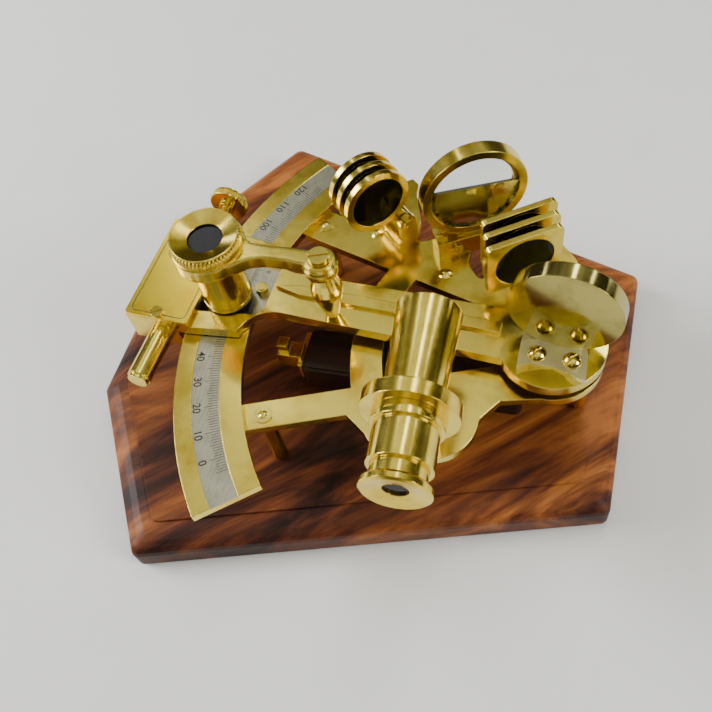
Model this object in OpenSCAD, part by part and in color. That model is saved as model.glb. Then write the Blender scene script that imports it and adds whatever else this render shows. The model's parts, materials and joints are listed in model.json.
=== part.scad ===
// Brass sextant on a hardwood display base.
// Row frame: +Z up, origin at the centre of the base's underside.
// Sextant frame: origin on the pivot axis at the level of the limb's top, limb towards -X.
// Arm frame: the same origin, turned with the index arm, which points to -X.

/* [Base] */
// Length of the base along X
base_length = 185.5; // [170:0.5:200]
// Half-width of the base at its widest line
base_half_wide = 95.5; // [85:0.5:105]
// Half-width of the base at the limb end
base_half_left = 37.8; // [30:0.5:45]
// Half-width of the base at the pivot end
base_half_right = 47.7; // [40:0.5:55]
// Thickness of the moulded board
base_thickness = 12.6; // [10:0.2:16]
// Width of the moulded edge around the flat field
moulding_width = 9; // [6:0.5:12]

/* [Frame] */
// Outer radius of the limb
limb_r_out = 120; // [116:0.5:124]
// Inner radius of the limb
limb_r_in = 98; // [96:0.5:100]
// Half-angle of the limb
limb_half_angle = 37.8; // [36:0.1:40]
// Thickness of the limb and of the frame plate
plate_thick = 3; // [2.5:0.1:3.2]
// Height of the limb's top above the display base
limb_height = 31; // [30:0.5:34]
// Inner radius of the curved cross strut
strut_r_in = 53; // [50:0.5:54]
// Outer radius of the curved cross strut
strut_r_out = 63.3; // [60:0.1:64]

/* [Index arm] */
// Angle of the arm above the limb's middle line at rest
arm_angle = 4.5; // [0:0.5:6]
// Thickness of the arm
arm_thick = 3.8; // [3.4:0.1:4]
// Radius of the pivot disc
disc_r = 16.6; // [15:0.1:17]
// Distance from the pivot to the clamp block's inner face
block_a_in = 115.6; // [114:0.1:116]
// Distance from the pivot to the clamp block's outer face
block_a_out = 139; // [136:0.5:142]
// Half-width of the clamp block
block_half = 21; // [19:0.5:22]

/* [Optics] */
// Height of the line of sight above the limb
optic_z = 22; // [21:0.5:23]
// Outer radius of the horizon mirror's ring
horizon_r = 17.5; // [16:0.1:18]
// Outer radius of the index mirror's cup
index_r = 17; // [16:0.1:17.2]
// Depth of both mirror mounts
mirror_depth = 5.2; // [4.6:0.1:5.4]
// Angle of the horizon mirror in plan
horizon_turn = 27.5; // [25:0.5:30]
// Angle of the telescope off the Y axis
telescope_turn = 2; // [0:0.5:3]

/* [Shades] */
// Outer radius of a round horizon shade
shade_r = 11.6; // [11:0.1:12]
// Radius of a horizon shade's glass
shade_glass_r = 9.35; // [9:0.05:9.5]
// Thickness of each shade
shade_thick = 2; // [1.6:0.1:2.2]
// Distance between neighbouring shades
shade_pitch = 5; // [4.8:0.1:5.2]

/* [Hidden] */
$fn = 72;

brass = "goldenrod";
bright_brass = "gold";
silver = "gainsboro";
dark_glass = [0.08, 0.1, 0.06];
eps = 0.01;

// Base
felt_thick = 1.5;
felt_inset = 2.5;
base_x_right = base_length / 2;
base_x_left = -base_length / 2;
base_x_wide = base_x_left + 36.3;
corner_r = 3;
lip_height = 7;
field_step = 0.8;
ovolo_steps = 5;

// Sextant placed on the base
pivot_x = 67.1;
pivot_y = -12.8;
sextant_turn = 1.72;
limb_z = felt_thick + base_thickness + limb_height;
plate_top = -plate_thick;
plate_bottom = -2 * plate_thick;

// Limb
inlay_r_in = 105.3;
inlay_r_out = 114.2;
inlay_depth = 0.5;
inlay_below = 0.15;
leg_end_r = 106;
hub_r = 16.3;
boss_r = 11;
stud_r = 3;

// Foot posts and rivets
leg_foot_x = -84.7;
low_foot_y = -35.8;
up_foot_y = 43.2;
hub_foot_x = 10.5;
foot_r = 2.6;
foot_gap = 0.3;
rivet_r = 2.9;

// Handle
grip_x0 = -81;
grip_x1 = -7;
grip_y0 = -12;
grip_y1 = 5;
grip_top = -12;
grip_bottom = -24.2;
handle_y = (grip_y0 + grip_y1) / 2;

// Arm
arm_bottom = 0.4;
arm_top = arm_bottom + arm_thick;
neck_a = 87;
flare_cut_r = 12;
flare_a = neck_a + flare_cut_r;
bore_gap = 0.05;
vernier_r_in = 93;
vernier_r_out = 104.3;
vernier_half_angle = 8;
vernier_bottom = 0.3;
vernier_top = 1.4;
block_bottom = -8;
block_top = 5;
block_step_a = 120.6;
cover_top = 6.2;
screw_a = 127.2;
screw_z = -2;
screw_r = 1.5;
clamp_a = 133;
clamp_r = 1.6;

// Height of the silvering's edge above the middle of the horizon glass, and its tilt
silvering_rise = 2.2;
silvering_tilt = 7;

// Magnifier
post_a = 70;
post_b = -4.4;
post_top = 26.2;
lens_a = 107;
lens_b = -5.5;
eye_bottom = post_top + 0.3;
eye_top = eye_bottom + 5;
eye_r = 12;
barrel_r = 8;
barrel_bottom = 5;
head_bottom = eye_top + 0.3;
head_top = head_bottom + 3.6;
lens_top = head_top - 2.4;

// Telescope stations, measured from the eyecup's face
tele_x = -33.8;
tele_y = -64.8;
seat_u = 23;
ring_u = 27.5;
tube_end_u = 58;
seat_r = 8.6;
tube_r_obj = 10.1;
holder_r = 9.4;
draw_r = 8;
draw_end_u = 21;
stop_u = 24.8;
objective_r = 9;

// Shade stacks: the front shade's middle in plan and the pin they swing on
h_shade_x = -60.3;
h_shade_y = 33.6;
h_shade_turn = 44;
h_pin_x = 9;
h_pin_z = 8;
i_shade_x = -11;
i_shade_y = 17.2;
i_shade_turn = 31.5;
i_pin_x = 9;
i_pin_z = 6;
i_shade_half = 12.2;
i_shade_low = 10;
i_shade_high = 30.6;
i_window_z = 20;
i_window_r = 9.5;
i_shade_step = 1.3;
pin_r = 1.3;
lug_r = 2.9;
lug_long = shade_pitch - 0.4;
cheek = 1.7;
stack_end = 2 * shade_pitch + lug_long;

// ---------- frames of reference ----------

module on_sextant() translate([pivot_x, pivot_y, limb_z]) rotate([0, 0, sextant_turn]) children();

module on_arm() on_sextant() rotate([0, 0, -arm_angle]) children();

// Along the telescope: z runs from the eyecup to the objective.
module on_telescope() on_sextant() translate([tele_x, tele_y, optic_z])
    rotate([0, 0, telescope_turn]) rotate([-90, 0, 0]) children();

// Mirror and shade frames: x along the glass, y towards its back, z up.
module on_horizon_mirror() on_sextant() translate([-29.8, 40.8, 0]) rotate([0, 0, horizon_turn]) children();

module on_index_mirror() on_sextant() translate([2.5, -1.8, 0]) rotate([0, 0, -7]) children();

module on_h_shades() on_sextant() translate([h_shade_x, h_shade_y, 0])
    rotate([0, 0, h_shade_turn]) children();

module on_i_shades() on_sextant() translate([i_shade_x, i_shade_y, 0])
    rotate([0, 0, i_shade_turn]) children();

// ---------- shared shapes ----------

module ring_sector(r_in, r_out, z0, z1, from, to)
    rotate([0, 0, from]) rotate_extrude(angle = to - from)
        translate([r_in, z0]) square([r_out - r_in, z1 - z0]);

// A ring sector centred on -X.
module limb_sector(r_in, r_out, z0, z1, half_angle)
    ring_sector(r_in, r_out, z0, z1, 180 - half_angle, 180 + half_angle);

module slab(points, z0, z1) translate([0, 0, z0]) linear_extrude(z1 - z0) polygon(points);

module disc(r, z0, z1) translate([0, 0, z0]) cylinder(r = r, h = z1 - z0);

// A cylinder along Y at height z.
module rod_y(r, x, z, y0, y1) translate([x, y0, z]) rotate([-90, 0, 0]) cylinder(r = r, h = y1 - y0);

module box(x0, x1, y0, y1, z0, z1) translate([x0, y0, z0]) cube([x1 - x0, y1 - y0, z1 - z0]);

// A block with upright rounded corners.
module round_block(x0, x1, y0, y1, z0, z1, r) {
    box(x0 + r, x1 - r, y0, y1, z0, z1);
    box(x0, x1, y0 + r, y1 - r, z0, z1);
    for (x = [x0 + r, x1 - r], y = [y0 + r, y1 - r]) translate([x, y, 0]) disc(r, z0, z1);
}

// A plate standing in the XZ plane, with rounded corners, from y0 to y1.
module upright_plate(x0, x1, z0, z1, y0, y1, r) {
    box(x0 + r, x1 - r, y0, y1, z0, z1);
    box(x0, x1, y0, y1, z0 + r, z1 - r);
    for (x = [x0 + r, x1 - r], z = [z0 + r, z1 - r]) rod_y(r, x, z, y0, y1);
}

// The slotted head of a screw, standing on z = 0.
module slotted_head(r, h) difference() {
    disc(r, 0, h);
    box(-r - 1, r + 1, -0.3, 0.3, h * 0.5, h + 1);
}

// A domed head with a slot, standing on z = 0.
module slotted_dome(r, h) difference() {
    dome_head(r, h);
    box(-r - 1, r + 1, -0.35, 0.35, h * 0.45, h + 1);
}

// A domed head, standing on z = 0.
module dome_head(r, h) {
    ball_r = (r * r + h * h) / (2 * h);
    intersection() {
        translate([0, 0, h - ball_r]) sphere(r = ball_r);
        disc(r, 0, h + 1);
    }
}

// ---------- base ----------

base_plan = [
    [base_x_right, -base_half_right], [base_x_right, base_half_right],
    [base_x_wide, base_half_wide], [base_x_left, base_half_left],
    [base_x_left, -base_half_left], [base_x_wide, -base_half_wide]
];

// The plan with rounded corners, pulled in by inset on every side.
module base_slice(inset, z0, z1)
    translate([0, 0, z0]) linear_extrude(z1 - z0)
        offset(r = corner_r, $fn = 32) offset(delta = -corner_r - inset) polygon(base_plan);

module base_board() color("saddlebrown") {
    z_low = felt_thick;
    z_lip = felt_thick + lip_height;
    rise = base_thickness - lip_height - field_step;
    hull() {
        base_slice(0, z_low, z_lip);
        for (i = [1:ovolo_steps]) {
            turn = 90 * i / ovolo_steps;
            base_slice(moulding_width * (1 - cos(turn)), z_low, z_lip + rise * sin(turn));
        }
    }
    base_slice(moulding_width + 0.8, z_low, felt_thick + base_thickness);
}

module base_felt() color([0.08, 0.08, 0.09]) base_slice(felt_inset, 0, felt_thick);

// ---------- frame ----------

lower_leg = [
    [-104, -37.4], [-59.3, -21.6], [-16, -6.6], [0, -4], [0, -16], [-13, -18.9], [-17.9, -25.6],
    [-19.5, -31], [-40.5, -29], [-42, -41.2], [-49.8, -38.1], [-58.7, -31.4], [-104, -47.3]
];
upper_leg = [
    [-104, 42.1], [-16, 12.9], [0, 0], [14, 9], [9, 26], [6, 35], [3.7, 39.4], [-0.8, 44.4],
    [-8, 45], [-17, 38], [-20, 31], [-26, 26.5], [-27.8, 27.6], [-30.5, 31.3], [-31.3, 33.1],
    [-31, 52], [-44, 52], [-43.8, 43.9], [-46.1, 41], [-50.5, 39.5], [-51, 50], [-54.8, 61],
    [-55.2, 66.5], [-57.8, 69], [-63, 66], [-71, 52], [-68, 43.5], [-104, 57.6]
];

// Part of a ring between two rays from the pivot.
module cross_strut() intersection() {
    difference() {
        disc(strut_r_out, plate_bottom, plate_top);
        disc(strut_r_in, plate_bottom - 1, plate_top + 1);
    }
    slab([[0, 0], [-90, 52], [-90, -38]], plate_bottom - 1, plate_top + 1);
}

module frame_plate() color(brass) on_sextant() difference() {
    union() {
        intersection() {
            union() {
                slab(lower_leg, plate_bottom, plate_top);
                slab(upper_leg, plate_bottom, plate_top);
            }
            disc(leg_end_r, plate_bottom - 1, plate_top + 1);
        }
        cross_strut();
        translate([-32.7, -27.6, 0]) disc(14.4, plate_bottom, plate_top);
        translate([-41, -30, 0]) disc(12.5, plate_bottom, plate_top);
        disc(hub_r, plate_bottom, plate_top);
        disc(boss_r, plate_bottom, arm_bottom - 0.3);
    }
    disc(stud_r, plate_bottom - 1, arm_bottom + 1);
}

module limb() color(brass) on_sextant() difference() {
    limb_sector(limb_r_in, limb_r_out, plate_top, 0, limb_half_angle);
    limb_sector(inlay_r_in, inlay_r_out, -inlay_depth, 1, limb_half_angle + 1);
}

module scale_arc() color(silver) on_sextant()
    limb_sector(inlay_r_in, inlay_r_out, -inlay_depth, -inlay_below, limb_half_angle);

module leg_rivets() color(bright_brass) on_sextant()
    for (y = [low_foot_y, up_foot_y]) translate([leg_foot_x, y, plate_top]) {
        disc(rivet_r, 0, 0.35);
        dome_head(1.8, 0.95);
    }

// Three turned feet: one under each leg and one under the hub.
module feet() color(brass) on_sextant()
    for (place = [[leg_foot_x, low_foot_y], [leg_foot_x, up_foot_y], [hub_foot_x, 0]])
        translate([place.x, place.y, 0]) {
            disc(foot_r + 0.8, plate_bottom - 1.6, plate_bottom);
            disc(foot_r, foot_gap + 1.2 - limb_height, plate_bottom);
            disc(foot_r - 0.5, foot_gap - limb_height, plate_bottom);
        }

module pivot_stud() color(bright_brass) on_sextant() {
    disc(stud_r, plate_bottom - 2, arm_top - 0.3);
    disc(6, plate_bottom - 3, plate_bottom);
}

// The handle hangs under the frame on two posts.
module handle_grip() color([0.2, 0.1, 0.07]) on_sextant() {
    round_block(grip_x0, grip_x1, grip_y0, grip_y1, grip_bottom + 1, grip_top - 1, 2.5);
    round_block(grip_x0 + 1, grip_x1 - 1, grip_y0 + 1, grip_y1 - 1, grip_bottom, grip_top, 2);
}

module handle_brackets() color(brass) on_sextant() {
    for (x = [-58.2, -12]) translate([x, handle_y, 0]) {
        disc(2.4, grip_top, plate_bottom);
        disc(3.6, grip_top, grip_top + 1.2);
        disc(3.6, plate_bottom - 1.2, plate_bottom);
    }
    round_block(grip_x0 - 1.8, grip_x0, -10.5, 3.5, -20.5, grip_top - 1.5, 0.8);
    box(-90.5, grip_x0 - 1, -8, -2, -18.5, grip_top);
    box(-90, -86.5, -7, -3, -13, -8);
}

// ---------- telescope ----------

module telescope_bracket() color(brass) difference() {
    union() {
        on_telescope() disc(14.2, seat_u, ring_u);
        on_sextant() box(-42, -28, -45.2, -38, plate_top, optic_z - 12);
    }
    on_telescope() disc(seat_r, seat_u - 5, ring_u + 5);
    on_telescope() disc(10.6, seat_u - 4, seat_u);
}

module telescope_tube() color(brass) on_telescope() rotate_extrude() polygon([
    [draw_r + bore_gap, 7.4], [holder_r, 7.4], [holder_r, 19], [10.6, 19], [10.6, seat_u],
    [seat_r, seat_u], [seat_r, ring_u], [10.4, ring_u], [9.6, ring_u + 0.9], [9.1, ring_u + 2.2],
    [8.75, ring_u + 3.2], [tube_r_obj, tube_end_u], [objective_r, tube_end_u],
    [objective_r, 54], [8.6, 54], [7.5, stop_u], [draw_r + bore_gap, stop_u]
]);

module objective_lens() color("lightblue") on_telescope() {
    disc(objective_r, 54, 56);
    translate([0, 0, 55.5]) dome_head(objective_r - 0.4, 1.4);
}

// The eyecup and the tube that slides in the holder.
module draw_tube() color(brass) on_telescope() rotate_extrude() polygon([
    [3.7, 1.3], [9.2, 0], [10.1, 0.6], [10.1, 2.2], [9.4, 3], [draw_r, 3], [draw_r, draw_end_u],
    [7, draw_end_u], [7, 6], [5, 6], [5, 2], [3.7, 2]
]);

module eye_lens() color(dark_glass) on_telescope() disc(5, 2, 4.6);

// ---------- horizon mirror ----------

module horizon_bracket() color(brass) on_horizon_mirror() difference() {
    union() {
        box(-13.8, 2, -1.8, 6.4, plate_top, 4.2);
        box(-6.5, 2, 0.2, mirror_depth - 0.2, 4, 7.2);
    }
    rod_y(horizon_r, 0, optic_z, -3, 8);
}

module horizon_ring() color(brass) on_horizon_mirror() difference() {
    rod_y(horizon_r, 0, optic_z, 0, mirror_depth);
    rod_y(14.8, 0, optic_z, -1, 3);
    rod_y(13.6, 0, optic_z, 0, mirror_depth + 1);
}

// The round glass from z0 to z1, measured from the line where the silvering ends.
module horizon_glass(z0, z1) on_horizon_mirror() intersection() {
    rod_y(14.8, 0, optic_z, 1, 3);
    translate([0, 0, optic_z + silvering_rise]) rotate([0, silvering_tilt, 0]) box(-20, 20, 0, 4, z0, z1);
}

module horizon_glass_clear() color("lightblue") horizon_glass(0, 20);

module horizon_glass_silvered() color(silver) horizon_glass(-20, 0);

module horizon_screws() color(bright_brass) {
    on_horizon_mirror() translate([-11, 2, 4.2]) slotted_head(2, 1.2);
    on_horizon_mirror() translate([-7.5, -1.8, 0.6]) rotate([90, 0, 0]) slotted_head(1.9, 1);
    on_sextant() translate([-38, 27, plate_top]) dome_head(2.4, 0.9);
}

// ---------- shades ----------

// Two cheeks and a floor carrying a pin along Y at (x, z).
module shade_fork(x, z, floor_top) {
    difference() {
        for (y = [[-0.35 - cheek, -0.35], [stack_end + 0.35, stack_end + 0.35 + cheek]]) {
            box(x - 3.2, x + 3.2, y[0], y[1], plate_top, z);
            rod_y(3.2, x, z, y[0], y[1]);
        }
        rod_y(pin_r, x, z, -5, stack_end + 5);
    }
    box(x - 4.4, x + 3.6, -0.35 - cheek, stack_end + 0.35 + cheek, plate_top, floor_top);
}

module shade_pin(x, z) {
    rod_y(pin_r, x, z, -0.35 - cheek, stack_end + 0.35 + cheek);
    translate([x, -0.35 - cheek, z]) rotate([90, 0, 0]) slotted_head(2.2, 1.1);
    rod_y(2, x, z, stack_end + 0.35 + cheek, stack_end + 1.2 + cheek);
}

module horizon_shade_bracket() color(brass) on_h_shades() shade_fork(h_pin_x, h_pin_z, 0);

module horizon_shade_pin() color(bright_brass) on_h_shades() shade_pin(h_pin_x, h_pin_z);

module round_shade(i) color(brass) on_h_shades() translate([0, i * shade_pitch, 0]) difference() {
    union() {
        rod_y(shade_r, 0, optic_z, 0, shade_thick);
        rod_y(lug_r, h_pin_x, h_pin_z, 0, lug_long);
        translate([h_pin_x, 0, h_pin_z]) rotate([0, -33, 0]) box(-2.2, 2.2, 0, shade_thick, 0, 9);
    }
    rod_y(shade_glass_r, 0, optic_z, -1, shade_thick + 1);
    rod_y(pin_r + bore_gap, h_pin_x, h_pin_z, -1, lug_long + 1);
}

module round_shade_glass(i) color(dark_glass) on_h_shades()
    translate([0, i * shade_pitch, 0]) rod_y(shade_glass_r, 0, optic_z, 0.4, shade_thick - 0.4);

module index_shade_bracket() color(brass) on_i_shades() {
    shade_fork(i_pin_x, i_pin_z, 1.5);
    difference() {
        box(i_pin_x, 20, stack_end + 0.35, stack_end + 0.35 + cheek, plate_top, 9);
        translate([14, 0, 9]) rotate([0, 40, 0]) box(0, 20, 0, 30, 0, 20);
        rod_y(3.2, i_pin_x, i_pin_z, -5, stack_end + 5);
    }
}

module index_shade_pin() color(bright_brass) on_i_shades() shade_pin(i_pin_x, i_pin_z);

module square_shade(i) color(brass) on_i_shades() translate([0, i * shade_pitch, 0]) difference() {
    dx = i * i_shade_step;
    union() {
        upright_plate(dx - i_shade_half, dx + i_shade_half, i_shade_low, i_shade_high, 0, shade_thick, 1.8);
        rod_y(lug_r, i_pin_x, i_pin_z, 0, lug_long);
        box(i_pin_x - 2.4, i_pin_x + 2.4, 0, shade_thick, i_pin_z, i_shade_low + 2);
    }
    rod_y(i_window_r, dx, i_window_z, -1, shade_thick + 1);
    rod_y(pin_r + bore_gap, i_pin_x, i_pin_z, -1, lug_long + 1);
}

module square_shade_glass(i) color(dark_glass) on_i_shades()
    translate([i * i_shade_step, i * shade_pitch, 0])
        rod_y(i_window_r, 0, i_window_z, 0.4, shade_thick - 0.4);

module shade_screws() color(bright_brass) {
    on_h_shades() translate([h_pin_x - 7, 9, plate_top]) dome_head(2.2, 0.9);
    on_i_shades() translate([i_pin_x - 8, 6, plate_top]) dome_head(2.2, 0.9);
}

// ---------- index arm ----------

arm_outline = [
    [0, 9.6], [-16, 9.3], [-neck_a, 8.4], [-neck_a, 18.6], [-flare_a, 18.6], [-block_a_in, 20.9],
    [-block_a_in, -20.9], [-flare_a, -18.6], [-neck_a, -18.6], [-neck_a, -8.4], [-16, -9.3], [0, -9.6]
];
window_outline = [
    [-93.2, 8.4], [-95, 11], [-block_a_in - 1, 14], [-block_a_in - 1, -14], [-95, -11], [-93.2, -8.4]
];

module index_arm() color(brass) on_arm() difference() {
    union() {
        slab(arm_outline, arm_bottom, arm_top);
        disc(disc_r, arm_bottom, arm_top);
        slab([[-92, 0.9], [-83, 2.9], [-16, 2.9], [-16, -1], [-83, -1]], arm_bottom, arm_top + 1.4);
    }
    for (b = [-20.4, 20.4]) translate([-neck_a, b, 0]) disc(flare_cut_r, 0, arm_top + 2);
    slab(window_outline, 0, arm_top + 2);
    limb_sector(vernier_r_in, vernier_r_out, 0, vernier_top, vernier_half_angle);
    disc(stud_r + bore_gap, 0, arm_top + 2);
}

module vernier_plate() color(silver) on_arm() difference() {
    limb_sector(vernier_r_in, vernier_r_out, vernier_bottom, vernier_top, vernier_half_angle);
    for (b = [-20.4, 20.4]) translate([-neck_a, b, 0]) disc(flare_cut_r + 0.6, 0, arm_top);
}

module vernier_screw() color(bright_brass) on_arm() translate([-97.5, 0.6, vernier_top]) {
    disc(2.15, 0, 2.4);
    disc(1.6, 2.4, 2.8);
}

// Half the window's width at distance a from the pivot.
function window_half(a) = 11 + 3 * (a - 95) / (block_a_in + 1 - 95);

module window_stud() color(silver) on_arm() {
    slab([
        [-111.5, -10], [-108.5, -10], [-108.5, -window_half(108.5)], [-111.5, -window_half(111.5)]
    ], 1.6, 2.8);
    translate([-110, -10.8, 0]) disc(1.7, 1.6, 4.2);
}

module clamp_block() color(brass) on_arm() difference() {
    union() {
        box(-block_a_out, -block_a_in, -block_half, block_half, arm_bottom, block_top);
        box(-block_a_out, -block_step_a, -block_half, block_half, block_bottom, block_top);
    }
    rod_y(screw_r + bore_gap, -screw_a, screw_z, -block_half - 1, block_half + 1);
    translate([-clamp_a, 0, 0]) disc(clamp_r + bore_gap, block_bottom - 1, -2);
}

module clamp_cover() color(bright_brass) on_arm()
    round_block(-block_a_out, -block_a_in, -block_half, block_half, block_top, cover_top, 1);

module cover_screw() color(brass) on_arm()
    translate([-127.4, -18.8, cover_top]) rotate([0, 0, 35]) slotted_head(2.3, 0.9);

module spring_barrel() color(brass) on_arm() {
    rod_y(4, -screw_a, screw_z, -40, -block_half);
    rod_y(3.4, -screw_a, screw_z, -41.2, -40);
}

module tangent_screw() color(bright_brass) on_arm() {
    rod_y(screw_r, -screw_a, screw_z, -block_half + 2, 37);
    rod_y(6.9, -screw_a, screw_z, 37, 40.2);
    rod_y(3, -screw_a, screw_z, 35.5, 37);
}

module clamp_screw() color(bright_brass) on_arm() translate([-clamp_a, 0, 0]) {
    disc(clamp_r, -11, -2.5);
    disc(6, -15, -10.5);
    disc(3, -16.5, -15);
}

module clamp_shoe() color(brass) on_arm() difference() {
    union() {
        box(-block_a_out, -112, -8, 8, -10, block_bottom);
        box(-118, -112, -8, 8, -10, -3.4);
    }
    translate([-clamp_a, 0, 0]) disc(2, -11, -7);
}

// ---------- index mirror ----------

mirror_foot_top = arm_top + 2.2;
mirror_foot = [
    [-9.3, -11.6], [-6, -9.9], [-1.7, -9.4], [1.2, -9.3], [4.7, -10.7], [8.2, -13], [10.9, -13.3],
    [10.9, -4.6], [9, 3.5], [-6, 5], [-9.1, -1]
];

module index_mirror_bracket() color(brass) difference() {
    union() {
        on_sextant() slab(mirror_foot, arm_top, mirror_foot_top);
        on_index_mirror() box(-6, 6, 0.6, mirror_depth - 0.6, arm_top, 8);
    }
    on_index_mirror() rod_y(index_r, 0, optic_z, -9, 9);
}

module index_mirror_cup() color(bright_brass) on_index_mirror() difference() {
    rod_y(index_r, 0, optic_z, 0, mirror_depth);
    rod_y(15.2, 0, optic_z, 1.8, mirror_depth + 1);
}

module index_mirror_glass() color(silver) on_index_mirror() rod_y(15.2, 0, optic_z, 1.8, mirror_depth - 0.6);

module index_mirror_screws() color(bright_brass) on_sextant()
    for (place = [[-3.9, -6.1], [6.5, -7]])
        translate([place.x, place.y, mirror_foot_top]) rotate([0, 0, 50]) slotted_dome(2.9, 1.6);

// ---------- magnifier ----------

module magnifier_post() color(brass) on_arm() translate([-post_a, post_b, 0]) rotate_extrude() polygon([
    [0, arm_top], [2.2, arm_top], [4.8, 14.4], [5.1, 16], [5.1, 17.8], [4.7, 19.8], [3.9, 22],
    [3.1, 23.8], [2.7, 25.2], [2.7, post_top], [0, post_top]
]);

module magnifier_screw() color(bright_brass) on_arm() translate([-post_a, post_b, 0]) {
    disc(1.6, post_top, eye_top + 0.5);
    translate([0, 0, eye_top + 0.3]) rotate([0, 0, 20]) slotted_head(3.3, 1.8);
}

// The swing arm narrows from the eye to a boss on the post.
swing_arm = [
    [-post_a, -1.7], [-80, -1.9], [-88, -2.6], [-93, -2.6], [-97, -0.6], [-101, 4],
    [-lens_a, lens_b + eye_r], [-lens_a, lens_b - eye_r], [-100.5, -14.8], [-96.2, -12],
    [-92, -8.6], [-87.4, -7.1], [-80, -6.6], [-post_a, -7.1]
];

module magnifier_arm() color(brass) on_arm() difference() {
    union() {
        slab(swing_arm, eye_bottom, eye_top);
        translate([-post_a, post_b, 0]) {
            disc(5.3, eye_bottom, eye_top - 2.2);
            disc(4.7, eye_bottom, eye_top);
        }
        translate([-lens_a, lens_b, 0]) disc(eye_r, eye_bottom, eye_top);
    }
    translate([-post_a, post_b, 0]) disc(1.65, eye_bottom - 1, eye_top + 1);
    translate([-lens_a, lens_b, 0]) disc(barrel_r + bore_gap, eye_bottom - 1, eye_top + 1);
}

module magnifier_barrel() color(brass) on_arm() translate([-lens_a, lens_b, 0]) rotate_extrude() polygon([
    [7.2, barrel_bottom], [8.2, barrel_bottom], [8.2, 6.4], [barrel_r, 6.4], [barrel_r, head_bottom],
    [10.6, head_bottom], [10.6, head_top - 0.8], [10.9, head_top - 0.5], [10.9, head_top], [10.6, head_top],
    [8, head_top - 0.9], [5.7, head_top - 1.7], [5.7, lens_top], [7.2, lens_top]
]);

module magnifier_lens() color(dark_glass) on_arm()
    translate([-lens_a, lens_b, 0]) disc(7.2, lens_top - 2.3, lens_top);

// ---------- assembly ----------

base_board();
base_felt();
frame_plate();
limb();
scale_arc();
leg_rivets();
feet();
pivot_stud();
handle_grip();
handle_brackets();
telescope_bracket();
telescope_tube();
objective_lens();
draw_tube();
eye_lens();
horizon_bracket();
horizon_ring();
horizon_glass_clear();
horizon_glass_silvered();
horizon_screws();
horizon_shade_bracket();
horizon_shade_pin();
round_shade(0);  // horizon_shade_1
round_shade(1);  // horizon_shade_2
round_shade(2);  // horizon_shade_3
round_shade_glass(0);  // horizon_shade_glass_1
round_shade_glass(1);  // horizon_shade_glass_2
round_shade_glass(2);  // horizon_shade_glass_3
index_shade_bracket();
index_shade_pin();
square_shade(0);  // index_shade_1
square_shade(1);  // index_shade_2
square_shade(2);  // index_shade_3
square_shade_glass(0);  // index_shade_glass_1
square_shade_glass(1);  // index_shade_glass_2
square_shade_glass(2);  // index_shade_glass_3
shade_screws();
index_arm();
vernier_plate();
vernier_screw();
window_stud();
clamp_block();
clamp_cover();
cover_screw();
spring_barrel();
index_mirror_bracket();
index_mirror_cup();
index_mirror_glass();
index_mirror_screws();
magnifier_post();
magnifier_screw();
magnifier_arm();
magnifier_barrel();
magnifier_lens();
tangent_screw();
clamp_screw();
clamp_shoe();
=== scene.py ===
"""Looks of a brass nautical sextant on its hardwood display base."""

import json
import math

import bmesh
import bpy
from mathutils import Matrix, Vector


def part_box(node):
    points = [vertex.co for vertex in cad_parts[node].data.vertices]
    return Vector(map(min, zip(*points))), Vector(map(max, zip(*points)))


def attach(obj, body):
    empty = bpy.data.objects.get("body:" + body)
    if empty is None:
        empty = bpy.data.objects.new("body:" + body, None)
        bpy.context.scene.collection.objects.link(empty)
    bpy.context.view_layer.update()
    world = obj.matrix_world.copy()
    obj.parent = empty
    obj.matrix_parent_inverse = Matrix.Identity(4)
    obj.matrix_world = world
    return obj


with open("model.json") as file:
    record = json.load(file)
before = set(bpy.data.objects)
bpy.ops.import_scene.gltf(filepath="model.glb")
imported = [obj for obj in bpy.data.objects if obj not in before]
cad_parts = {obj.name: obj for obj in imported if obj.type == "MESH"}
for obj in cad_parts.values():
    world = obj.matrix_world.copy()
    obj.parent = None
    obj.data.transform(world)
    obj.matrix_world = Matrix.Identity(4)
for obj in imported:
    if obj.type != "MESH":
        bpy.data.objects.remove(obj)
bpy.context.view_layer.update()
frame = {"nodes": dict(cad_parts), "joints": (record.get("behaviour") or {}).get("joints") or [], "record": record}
nodes = frame["nodes"]
joints = {j["name"]: j for j in frame["joints"]}

MM = 0.001

# ---------- frames of reference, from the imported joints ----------

SEXTANT_TURN = math.radians(1.72)  # how far the sextant stands turned on its base


def turned(origin, x_axis):
    """A frame at origin with its x along x_axis and z up; its units are millimetres."""
    x = Vector(x_axis).normalized()
    z = Vector((0, 0, 1))
    y = z.cross(x)
    turn = Matrix((x, y, z)).transposed().to_4x4()
    return Matrix.Translation(origin) @ turn @ Matrix.Scale(MM, 4)


limb_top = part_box("limb")[1].z
pivot = Vector(joints["index_arm_swing"]["pos_m"])
pivot.z = limb_top
SEXTANT = turned(pivot, (math.cos(SEXTANT_TURN), math.sin(SEXTANT_TURN), 0))
arm_b = Vector(joints["tangent_screw_turn"]["axis"])
ARM = turned(pivot, (arm_b.y, -arm_b.x, 0))

# ---------- small helpers ----------


def new_object(name, mesh, body, material, smooth=True):
    """Links a mesh as a piece of a body."""
    obj = bpy.data.objects.new(name, mesh)
    bpy.context.scene.collection.objects.link(obj)
    for poly in mesh.polygons:
        poly.use_smooth = smooth
    mesh.materials.append(material)
    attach(obj, body)


def mesh_from(verts, faces, place=None):
    """A mesh from millimetre points in the frame called place."""
    mesh = bpy.data.meshes.new("mesh")
    mesh.from_pydata([(place or Matrix.Identity(4)) @ Vector(v) for v in verts], [], faces)
    mesh.validate()
    bm = bmesh.new()
    bm.from_mesh(mesh)
    bmesh.ops.recalc_face_normals(bm, faces=bm.faces)
    bm.to_mesh(mesh)
    bm.free()
    return mesh


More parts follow.
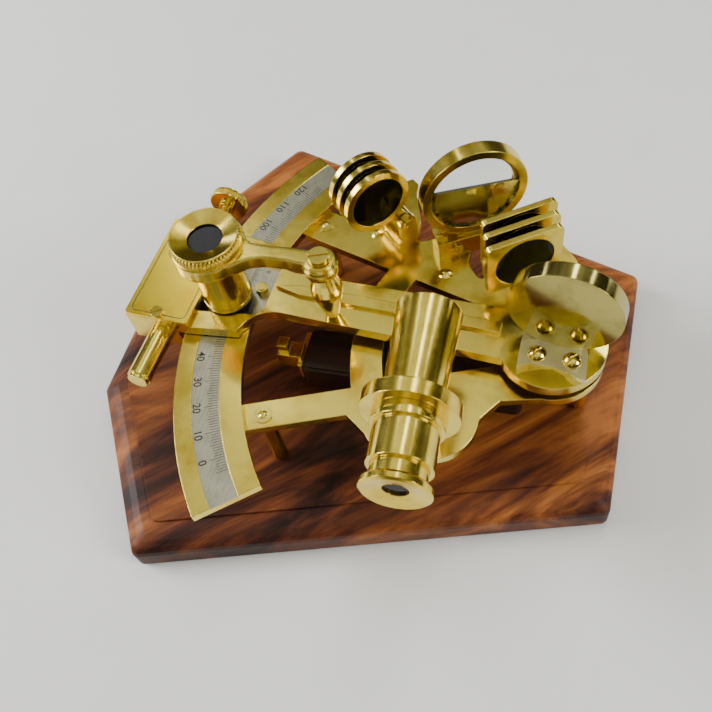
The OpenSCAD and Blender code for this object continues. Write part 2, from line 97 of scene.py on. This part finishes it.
def boxes(items, place):
    """One mesh of many small boxes, each (centre, size, turn about z)."""
    verts, faces = [], []
    for (cx, cy, cz), (sx, sy, sz), turn in items:
        a = len(verts)
        c, s = math.cos(turn), math.sin(turn)
        for dz in (-sz / 2, sz / 2):
            for dx, dy in ((-1, -1), (1, -1), (1, 1), (-1, 1)):
                x, y = dx * sx / 2, dy * sy / 2
                verts.append((cx + c * x - s * y, cy + s * x + c * y, cz + dz))
        faces += [(a, a + 3, a + 2, a + 1), (a + 4, a + 5, a + 6, a + 7)]
        faces += [(a + i, a + (i + 1) % 4, a + 4 + (i + 1) % 4, a + 4 + i) for i in range(4)]
    return mesh_from(verts, faces, place)


def lathe(profile, place, steps, ridge, ridges):
    """A closed profile of (r, z) turned about z, with its outermost points ridged."""
    r_top = max(r for r, _ in profile)
    verts, faces = [], []
    n = len(profile)
    for i in range(steps):
        angle = 2 * math.pi * i / steps
        groove = ridge * (0.5 - 0.5 * math.cos(ridges * angle))
        for r, z in profile:
            if r > r_top - 0.01:
                r -= groove
            verts.append((r * math.cos(angle), r * math.sin(angle), z))
    for i in range(steps):
        j = (i + 1) % steps
        for k in range(n):
            m = (k + 1) % n
            faces.append((i * n + k, j * n + k, j * n + m, i * n + m))
    return mesh_from(verts, faces, place)


# ---------- materials ----------


def add_node(tree, kind, **settings):
    """A new node, with each setting given to the input or the attribute of that name."""
    made = tree.nodes.new(kind)
    for key, value in settings.items():
        if key in made.inputs:
            made.inputs[key].default_value = value
        else:
            setattr(made, key, value)
    return made


def set_stops(node, stops):
    """Fills a colour ramp with (position, colour) stops."""
    points = node.color_ramp.elements
    while len(points) < len(stops):
        points.new(0.5)
    for point, (position, colour) in zip(points, stops):
        point.position = position
        point.color = (*colour, 1.0)


class Shader:
    """A Principled material and the few nodes that go into it."""

    def __init__(self, name, **inputs):
        self.material = bpy.data.materials.new(name)
        self.material.use_nodes = True
        self.tree = self.material.node_tree
        self.surface = self.tree.nodes["Principled BSDF"]
        for key, value in inputs.items():
            self.surface.inputs[key.replace("_", " ")].default_value = value
        self.coords = self.node("ShaderNodeTexCoord").outputs["Object"]

    def node(self, kind, **settings):
        return add_node(self.tree, kind, **settings)

    def link(self, source, target):
        self.tree.links.new(source, target)

    def mapped(self, scale=(1, 1, 1), turn=0.0):
        """Object coordinates turned about z by turn, then scaled along the turned axes."""
        turned_by = self.node("ShaderNodeMapping", Rotation=(0, 0, turn))
        self.link(self.coords, turned_by.inputs["Vector"])
        made = self.node("ShaderNodeMapping", Scale=scale)
        self.link(turned_by.outputs["Vector"], made.inputs["Vector"])
        return made.outputs["Vector"]

    def noise(self, vector, scale, detail=3.0, rough=0.5, distortion=0.0):
        made = self.node(
            "ShaderNodeTexNoise",
            Scale=scale, Detail=detail, Roughness=rough, Distortion=distortion,
        )
        self.link(vector, made.inputs["Vector"])
        return made.outputs["Fac"]

    def ramp(self, factor, stops):
        made = self.node("ShaderNodeValToRGB")
        set_stops(made, stops)
        self.link(factor, made.inputs["Fac"])
        return made.outputs["Color"]

    def spread(self, factor, low, high, start=0.0, end=1.0):
        """Maps start..end of the factor to low..high."""
        made = self.node("ShaderNodeMapRange")
        for key, value in zip(("From Min", "From Max", "To Min", "To Max"), (start, end, low, high)):
            made.inputs[key].default_value = value
        self.link(factor, made.inputs["Value"])
        return made.outputs["Result"]

    def math(self, operation, first, second, third=None):
        """A Math node; each operand is a number or another node's output."""
        made = self.node("ShaderNodeMath", operation=operation)
        for socket, operand in zip(made.inputs, (first, second, third)):
            if isinstance(operand, (int, float)):
                socket.default_value = operand
            elif operand is not None:
                self.link(operand, socket)
        return made.outputs[0]

    def round_edges(self, radius):
        """Softens edges in the shading; the result is the surface's normal."""
        made = self.node("ShaderNodeBevel", samples=4, Radius=radius)
        self.link(made.outputs["Normal"], self.surface.inputs["Normal"])
        return made.outputs["Normal"]

    def bump(self, height, strength, distance, under=None):
        """Raises the surface by a pattern, over the softened edges if there are any."""
        made = self.node("ShaderNodeBump", Strength=strength, Distance=distance)
        self.link(height, made.inputs["Height"])
        if under:
            self.link(under, made.inputs["Normal"])
        self.link(made.outputs["Normal"], self.surface.inputs["Normal"])

    def colour(self, factor, stops):
        self.link(self.ramp(factor, stops), self.surface.inputs["Base Color"])

    def roughness(self, factor, low, high):
        self.link(self.spread(factor, low, high), self.surface.inputs["Roughness"])


def brass(name, bright, dull, rough_low, rough_high, edge):
    """Brass with patches of faint tarnish, smudges and softened edges."""
    s = Shader(name, Metallic=1.0)
    tarnish = s.noise(s.mapped(), 70, 5, 0.62)
    s.colour(tarnish, [(0.34, dull), (0.56, bright)])
    smudges = s.noise(s.mapped((1.0, 1.6, 1.0)), 210, 5, 0.65)
    s.roughness(smudges, rough_low, rough_high)
    scratches = s.noise(s.mapped((240, 2600, 900), 0.5), 1.0, 2)
    s.bump(scratches, 0.10, 0.00002, s.round_edges(edge))
    return s.material


FIBRE_SHARE = 0.18


def wood(name, stops, turn, along, across, gloss, wave):
    """Grain along the turned x axis: dark and light streaks under fine fibres."""
    s = Shader(name, Coat_Weight=gloss, Coat_Roughness=0.3, Specular_IOR_Level=0.2)
    streaks = s.noise(s.mapped((along, across, across * 0.7), turn), 1.0, 6, 0.6, wave)
    fibres = s.noise(s.mapped((along * 5, across * 10, across * 10), turn), 1.0, 3, 0.6)
    s.colour(s.math("MULTIPLY_ADD", fibres, FIBRE_SHARE, streaks), stops)
    s.roughness(fibres, 0.36, 0.60)
    s.bump(fibres, 0.15, 0.0002, s.round_edges(0.0005))
    return s.material


def scale_silver():
    """Silvered brass, brushed one way, with faint darker marks."""
    s = Shader("silvered_scale", Metallic=1.0)
    brushed = s.noise(s.mapped((1400, 160, 200)), 1.0, 3)
    marks = s.noise(s.mapped(), 130, 5, 0.7)
    both = s.math("MULTIPLY", brushed, marks)
    s.colour(both, [(0.14, (0.38, 0.37, 0.28)), (0.30, (0.50, 0.49, 0.38))])
    s.roughness(brushed, 0.26, 0.42)
    return s.material


def cloth_dark():
    """The pad under the base."""
    s = Shader("felt", Roughness=0.95)
    fuzz = s.noise(s.mapped(), 900, 3)
    s.colour(fuzz, [(0.3, (0.004, 0.004, 0.005)), (0.7, (0.02, 0.02, 0.024))])
    s.bump(fuzz, 0.4, 0.0003)
    return s.material


def ink():
    """The filling of engraved lines and numerals."""
    s = Shader("engraving", Roughness=0.6)
    fill = s.noise(s.mapped(), 800, 2)
    s.colour(fill, [(0.3, (0.004, 0.003, 0.002)), (0.7, (0.02, 0.018, 0.012))])
    return s.material


def glass(name, tint, deep, clear, rough, index=1.5):
    """Glass of a tint; clear is how much light goes through."""
    s = Shader(name, Transmission_Weight=clear, IOR=index)
    film = s.noise(s.mapped(), 120, 3)
    s.colour(film, [(0.3, deep), (0.7, tint)])
    s.roughness(film, rough, rough + 0.05)
    return s.material


def looking_glass(name, node, sound_to, rim):
    """Silvering seen through glass, bright in the middle and specked towards its rim."""
    s = Shader(name, Metallic=1.0)
    low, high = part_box(node)
    reach = s.node("ShaderNodeVectorMath", operation="DISTANCE")
    s.link(s.coords, reach.inputs[0])
    reach.inputs[1].default_value = (low + high) / 2
    specks = s.noise(s.mapped(), 900, 4, 0.7)
    inward = s.spread(reach.outputs["Value"], 0.9, 0.0, sound_to, rim)
    s.colour(
        s.math("ADD", inward, specks),
        [(0.40, (0.05, 0.05, 0.035)), (0.56, (0.55, 0.56, 0.48)), (0.75, (0.80, 0.82, 0.74))],
    )
    s.roughness(specks, 0.02, 0.10)
    s.bump(specks, 0.05, 0.0002)
    return s.material


def floor_paper():
    """The plain pale floor."""
    s = Shader("floor", Roughness=0.9)
    fibre = s.noise(s.mapped(), 30, 2)
    s.colour(fibre, [(0.3, (0.90, 0.90, 0.90)), (0.7, (0.92, 0.92, 0.92))])
    return s.material


BRASS = brass("brass", (0.88, 0.70, 0.13), (0.70, 0.50, 0.06), 0.10, 0.26, 0.0004)
POLISHED = brass("polished_brass", (0.90, 0.74, 0.17), (0.78, 0.60, 0.09), 0.03, 0.12, 0.0003)
# a darker, olive copy of the brass: painted shade that stands in for the dark reflection on the index mirror cup's
# back
PAINTED_DARK_BRASS = brass("brass_painted_dark_olive", (0.46, 0.40, 0.12), (0.24, 0.20, 0.05), 0.05, 0.16, 0.0004)
SWEPT = brass("swept_brass", (0.90, 0.72, 0.14), (0.72, 0.53, 0.07), 0.10, 0.26, 0.0016)
BRUSHED = brass("brushed_brass", (1.0, 0.94, 0.62), (0.92, 0.82, 0.42), 0.30, 0.46, 0.0002)
GILT = brass("gilt_brass", (1.0, 0.75, 0.06), (0.90, 0.56, 0.02), 0.14, 0.30, 0.0004)
SHEESHAM = wood(
    "sheesham",
    [
        (0.42, (0.014, 0.004, 0.003)),
        (0.50, (0.050, 0.013, 0.007)),
        (0.58, (0.125, 0.032, 0.011)),
        (0.66, (0.26, 0.078, 0.018)),
        (0.75, (0.46, 0.155, 0.034)),
    ],
    math.radians(-42), 9, 46, 0.05, 1.0,
)
ROSEWOOD = wood(
    "rosewood",
    [(0.40, (0.004, 0.002, 0.002)), (0.65, (0.020, 0.006, 0.004)), (0.80, (0.045, 0.012, 0.007))],
    0.0, 12, 300, 0.4, 0.5,
)
SCALE = scale_silver()
FELT = cloth_dark()
INK = ink()
CLEAR = glass("clear_glass", (0.95, 0.98, 0.96), (0.90, 0.95, 0.92), 1.0, 0.0)
SHADE = glass("shade_glass", (0.005, 0.006, 0.0012), (0.002, 0.0025, 0.001), 0.05, 0.02, 1.25)
LENS = glass("lens_glass", (0.008, 0.008, 0.010), (0.003, 0.003, 0.004), 0.1, 0.01, 1.2)
MIRROR = looking_glass("mirror", "horizon_ring", 0.0105, 0.0138)
INDEX_MIRROR = looking_glass("index_mirror", "index_mirror_glass", 0.0145, 0.0172)

LOOKS = {
    "sheesham": SHEESHAM,
    "rosewood": ROSEWOOD,
    "felt": FELT,
    "brass": BRASS,
    "polished_brass": POLISHED,
    "silvered_scale": SCALE,
    "clear_glass": CLEAR,
    "shade_glass": SHADE,
    "lens_glass": LENS,
    "mirror": MIRROR,
}

# nodes that look unlike the rest of their slot
SPECIAL = {
    # the cup's darker olive brass is painted shade for the dark reflection on its back
    "index_mirror_cup": PAINTED_DARK_BRASS,
    "magnifier_arm": SWEPT,
    "index_mirror_bracket": BRUSHED,
    "index_mirror_glass": INDEX_MIRROR,
    "clamp_cover": GILT,
}

slot_of = {p["node"]: p["material_slot"] for p in frame["record"]["subparts"]}
for name, obj in nodes.items():
    obj.data.materials.clear()
    obj.data.materials.append(SPECIAL.get(name, LOOKS[slot_of[name]]))

# ---------- scale, vernier and their numerals ----------

INK_THICK = 0.03
SCALE_Z = -0.15 + INK_THICK / 2
SCALE_R_IN = 105.55
SCALE_LENGTHS = (4.6, 3.8, 3.0)
SCALE_NUMERAL_R = 112.6
VERNIER_Z = 1.4 + INK_THICK / 2
VERNIER_R_OUT = 104.1
VERNIER_LENGTHS = (3.2, 2.4, 1.6)
VERNIER_NUMERAL_R = 99.1
VERNIER_STEP = math.radians(0.25)


def radial_marks(marks, place, z):
    """Thin radial lines, each (angle from -X, inner radius, outer radius, width)."""
    items = []
    for angle, r0, r1, width in marks:
        t = math.pi - angle
        middle = (r0 + r1) / 2
        items.append(((middle * math.cos(t), middle * math.sin(t), z), (r1 - r0, width, INK_THICK), t))
    return boxes(items, place)


def numerals(labels, size, radius, place, z):
    """Numbers round the pivot with their tops towards it, each (text, angle from -X)."""
    whole = bmesh.new()
    for text, angle in labels:
        curve = bpy.data.curves.new("numeral", "FONT")
        curve.body = text
        curve.size = size
        curve.align_x = "CENTER"
        curve.align_y = "CENTER"
        curve.extrude = INK_THICK / 2
        curve.offset = size * 0.008
        shape = bpy.data.objects.new("numeral", curve)
        bpy.context.scene.collection.objects.link(shape)
        bpy.context.view_layer.update()
        mesh = bpy.data.meshes.new_from_object(shape)
        bpy.data.objects.remove(shape)
        bpy.data.curves.remove(curve)
        at = Vector((-radius * math.cos(angle), radius * math.sin(angle), z))
        up = Vector((math.cos(angle), -math.sin(angle), 0))
        right = Vector((up.y, -up.x, 0))
        turn = Matrix((right, up, Vector((0, 0, 1)))).transposed().to_4x4()
        mesh.transform(place @ Matrix.Translation(at) @ turn)
        whole.from_mesh(mesh)
        bpy.data.meshes.remove(mesh)
    bmesh.ops.remove_doubles(whole, verts=whole.verts, dist=1e-7)
    mesh = bpy.data.meshes.new("numerals")
    whole.to_mesh(mesh)
    whole.free()
    return mesh


def mark_length(count, lengths):
    """The length of a division: longest at each tenth, longer at each fifth."""
    return lengths[0] if count % 10 == 0 else lengths[1] if count % 5 == 0 else lengths[2]


def scale_angle(value):
    """The place of a scale reading on the limb: half a degree of arc to each degree."""
    return math.radians(value / 2 - 30)


marks = []
for value in range(-5, 126):
    outer = SCALE_R_IN + mark_length(value, SCALE_LENGTHS)
    marks.append((scale_angle(value), SCALE_R_IN, outer, 0.16))
ticks = radial_marks(marks, SEXTANT, SCALE_Z)
new_object("scale_ticks", ticks, "frame", INK, smooth=False)
labels = [(str(value), scale_angle(value)) for value in range(0, 121, 10)]
digits = numerals(labels, 3.7, SCALE_NUMERAL_R, SEXTANT, SCALE_Z)
new_object("scale_numerals", digits, "frame", INK, smooth=False)

marks = []
for count in range(-28, 29):
    inner = VERNIER_R_OUT - mark_length(count, VERNIER_LENGTHS)
    marks.append((count * VERNIER_STEP, inner, VERNIER_R_OUT, 0.12))
ticks = radial_marks(marks, ARM, VERNIER_Z)
new_object("vernier_ticks", ticks, "arm", INK, smooth=False)
labels = [("20", -20 * VERNIER_STEP), ("10", 0), ("0", 20 * VERNIER_STEP)]
digits = numerals(labels, 2.2, VERNIER_NUMERAL_R, ARM, VERNIER_Z)
new_object("vernier_numerals", digits, "arm", INK, smooth=False)

# ---------- engraved border of the clamp cover ----------

COVER_MIDDLE_A, COVER_HALF_A, COVER_HALF_B, COVER_Z = 127.3, 11.7, 21.0, 6.2


def border(inset, corner, width):
    """A thin rounded rectangle on the cover, this far in from its edges."""
    half_a, half_b = COVER_HALF_A - inset - corner, COVER_HALF_B - inset - corner
    corners = [(1, 1, 0), (-1, 1, 90), (-1, -1, 180), (1, -1, 270)]
    steps = 8
    inner, outer = [], []
    for side_a, side_b, start in corners:
        for i in range(steps + 1):
            t = math.radians(start + 90 * i / steps)
            for ring, r in ((inner, corner - width), (outer, corner)):
                x = -COVER_MIDDLE_A + side_a * half_a + r * math.cos(t)
                ring.append((x, side_b * half_b + r * math.sin(t)))
    n = len(inner)
    verts = [(x, y, COVER_Z + dz) for dz in (0, INK_THICK) for x, y in inner + outer]
    faces = []
    for i in range(n):
        j = (i + 1) % n
        faces += [
            (i, j, n + j, n + i),
            (2 * n + i, 3 * n + i, 3 * n + j, 2 * n + j),
            (i, 2 * n + i, 2 * n + j, j),
            (n + i, n + j, 3 * n + j, 3 * n + i),
        ]
    return mesh_from(verts, faces, ARM)


engraved = border(inset=1.5, corner=2.0, width=0.25)
new_object("cover_border", engraved, "arm", INK, smooth=False)

# ---------- knurled rims ----------


LENS_A, LENS_B = 107, -5.5
SCREW_A, SCREW_Z = 127.2, -2
CLAMP_A = 133


def knurl(name, body, place, radius, low, high, ridges, proud=0.25):
    """A band of ridges round a rim, from low to high along the frame's z."""
    inside, outside, chamfer = radius - 0.6, radius + proud, 0.15
    profile = [
        (inside, low), (outside - chamfer, low), (outside, low + chamfer),
        (outside, high - chamfer), (outside - chamfer, high), (inside, high),
    ]
    mesh = lathe(profile, place, ridges * 6, proud, ridges)
    new_object(name, mesh, body, BRASS)


lens_place = ARM @ Matrix.Translation((-LENS_A, LENS_B, 0))
screw_place = ARM @ Matrix.Translation((-SCREW_A, 0, SCREW_Z))
screw_place = screw_place @ Matrix.Rotation(math.radians(-90), 4, "X")
clamp_place = ARM @ Matrix.Translation((-CLAMP_A, 0, 0))
knurl("magnifier_knurl", "magnifier", lens_place, 10.65, 31.9, 34.6, 56, 0.75)
knurl("tangent_knurl", "tangent_screw", screw_place, 6.9, 37.4, 39.8, 48)
knurl("clamp_knurl", "clamp_screw", clamp_place, 6.0, -14.6, -10.9, 40)

# ---------- floor, light and camera ----------

FLOOR_HALF = 3.0
floor_corners = [(FLOOR_HALF * x, FLOOR_HALF * y, 0) for x, y in ((-1, -1), (1, -1), (1, 1), (-1, 1))]
floor_mesh = mesh_from(floor_corners, [(0, 1, 2, 3)])
floor = bpy.data.objects.new("floor", floor_mesh)
bpy.context.scene.collection.objects.link(floor)
floor_mesh.materials.append(floor_paper())


def area_light(name, place, target, size, power):
    """A rectangular light aimed at target."""
    lamp = bpy.data.lights.new(name, "AREA")
    lamp.shape = "RECTANGLE"
    lamp.size, lamp.size_y = size
    lamp.energy = power
    obj = bpy.data.objects.new(name, lamp)
    obj.location = place
    obj.rotation_mode = "QUATERNION"
    obj.rotation_quaternion = (Vector(target) - Vector(place)).to_track_quat("-Z", "Y")
    bpy.context.scene.collection.objects.link(obj)


STREAK_AHEAD = 0.545
STREAK_DISTANCE = 1.3
STREAK_LENGTH = 0.7


def streak_light(name, around, width, radiance):
    """A long narrow light beyond the object; around is its angle from overhead, towards +X."""
    side = math.sqrt(1 - STREAK_AHEAD * STREAK_AHEAD)
    turn = math.radians(around)
    place = Vector((side * math.sin(turn), STREAK_AHEAD, side * math.cos(turn))) * STREAK_DISTANCE
    power = radiance * math.pi * width * STREAK_LENGTH
    area_light(name, place, (0, 0, 0.05), (width, STREAK_LENGTH), power)


area_light("left", (-0.95, -0.10, 0.65), (0, 0, 0.03), (0.55, 0.5), 13)
area_light("right", (0.95, -0.15, 0.60), (0, 0, 0.03), (0.4, 0.4), 7)
streak_light("streak_middle", 9, 0.12, 7)
streak_light("streak_right", 44, 0.05, 5)
streak_light("streak_left", -34, 0.06, 4)
streak_light("streak_far_left", -74, 0.10, 4)
streak_light("streak_far_right", 88, 0.05, 4)

# the sky's colour by height, from the ground to overhead; the noise shifts it
SKY = [
    (0.35, (0.035, 0.030, 0.020)),
    (1.00, (0.060, 0.055, 0.040)),
    (1.20, (0.22, 0.21, 0.16)),
    (1.40, (0.60, 0.59, 0.49)),
    (1.62, (1.20, 1.20, 1.08)),
]
SKY_REACH = 2.0
CLOUD_SHIFT = 1.1

world = bpy.data.worlds.new("studio")
bpy.context.scene.world = world
world.use_nodes = True
tree = world.node_tree

direction = add_node(tree, "ShaderNodeTexCoord").outputs["Generated"]
split = add_node(tree, "ShaderNodeSeparateXYZ")
tree.links.new(direction, split.inputs["Vector"])
clouds = add_node(tree, "ShaderNodeTexNoise", Scale=2.6, Detail=2.0, Roughness=0.5)
tree.links.new(direction, clouds.inputs["Vector"])
height = add_node(tree, "ShaderNodeMath", operation="MULTIPLY_ADD")
tree.links.new(clouds.outputs["Fac"], height.inputs[0])
height.inputs[1].default_value = CLOUD_SHIFT
tree.links.new(split.outputs["Z"], height.inputs[2])
shrink = add_node(tree, "ShaderNodeMath", operation="DIVIDE")
tree.links.new(height.outputs[0], shrink.inputs[0])
shrink.inputs[1].default_value = SKY_REACH
sky = add_node(tree, "ShaderNodeValToRGB")
set_stops(sky, [(position / SKY_REACH, colour) for position, colour in SKY])
tree.links.new(shrink.outputs[0], sky.inputs["Fac"])
tree.links.new(sky.outputs["Color"], tree.nodes["Background"].inputs["Color"])
tree.nodes["Background"].inputs["Strength"].default_value = 1.0

# the camera, solved from the photograph, in the sextant's frame
CAMERA_AT = (2.5075, -145.5795, 223.1421)
CAMERA_RIGHT = (0.96393, 0.23218, -0.13008)
CAMERA_UP = (-0.12847, 0.83400, 0.53660)

camera_data = bpy.data.cameras.new("camera")
camera_data.sensor_width = 36
camera_data.lens = 42.42
camera_data.clip_start = 0.01
camera_data.clip_end = 20
camera = bpy.data.objects.new("camera", camera_data)
bpy.context.scene.collection.objects.link(camera)
right, up = Vector(CAMERA_RIGHT), Vector(CAMERA_UP)
axes = Matrix((right, up, right.cross(up))).transposed().to_4x4()
placed = SEXTANT @ Matrix.Translation(CAMERA_AT) @ axes
camera.location = placed.translation
camera.rotation_mode = "QUATERNION"
camera.rotation_quaternion = placed.to_quaternion()
bpy.context.scene.camera = camera
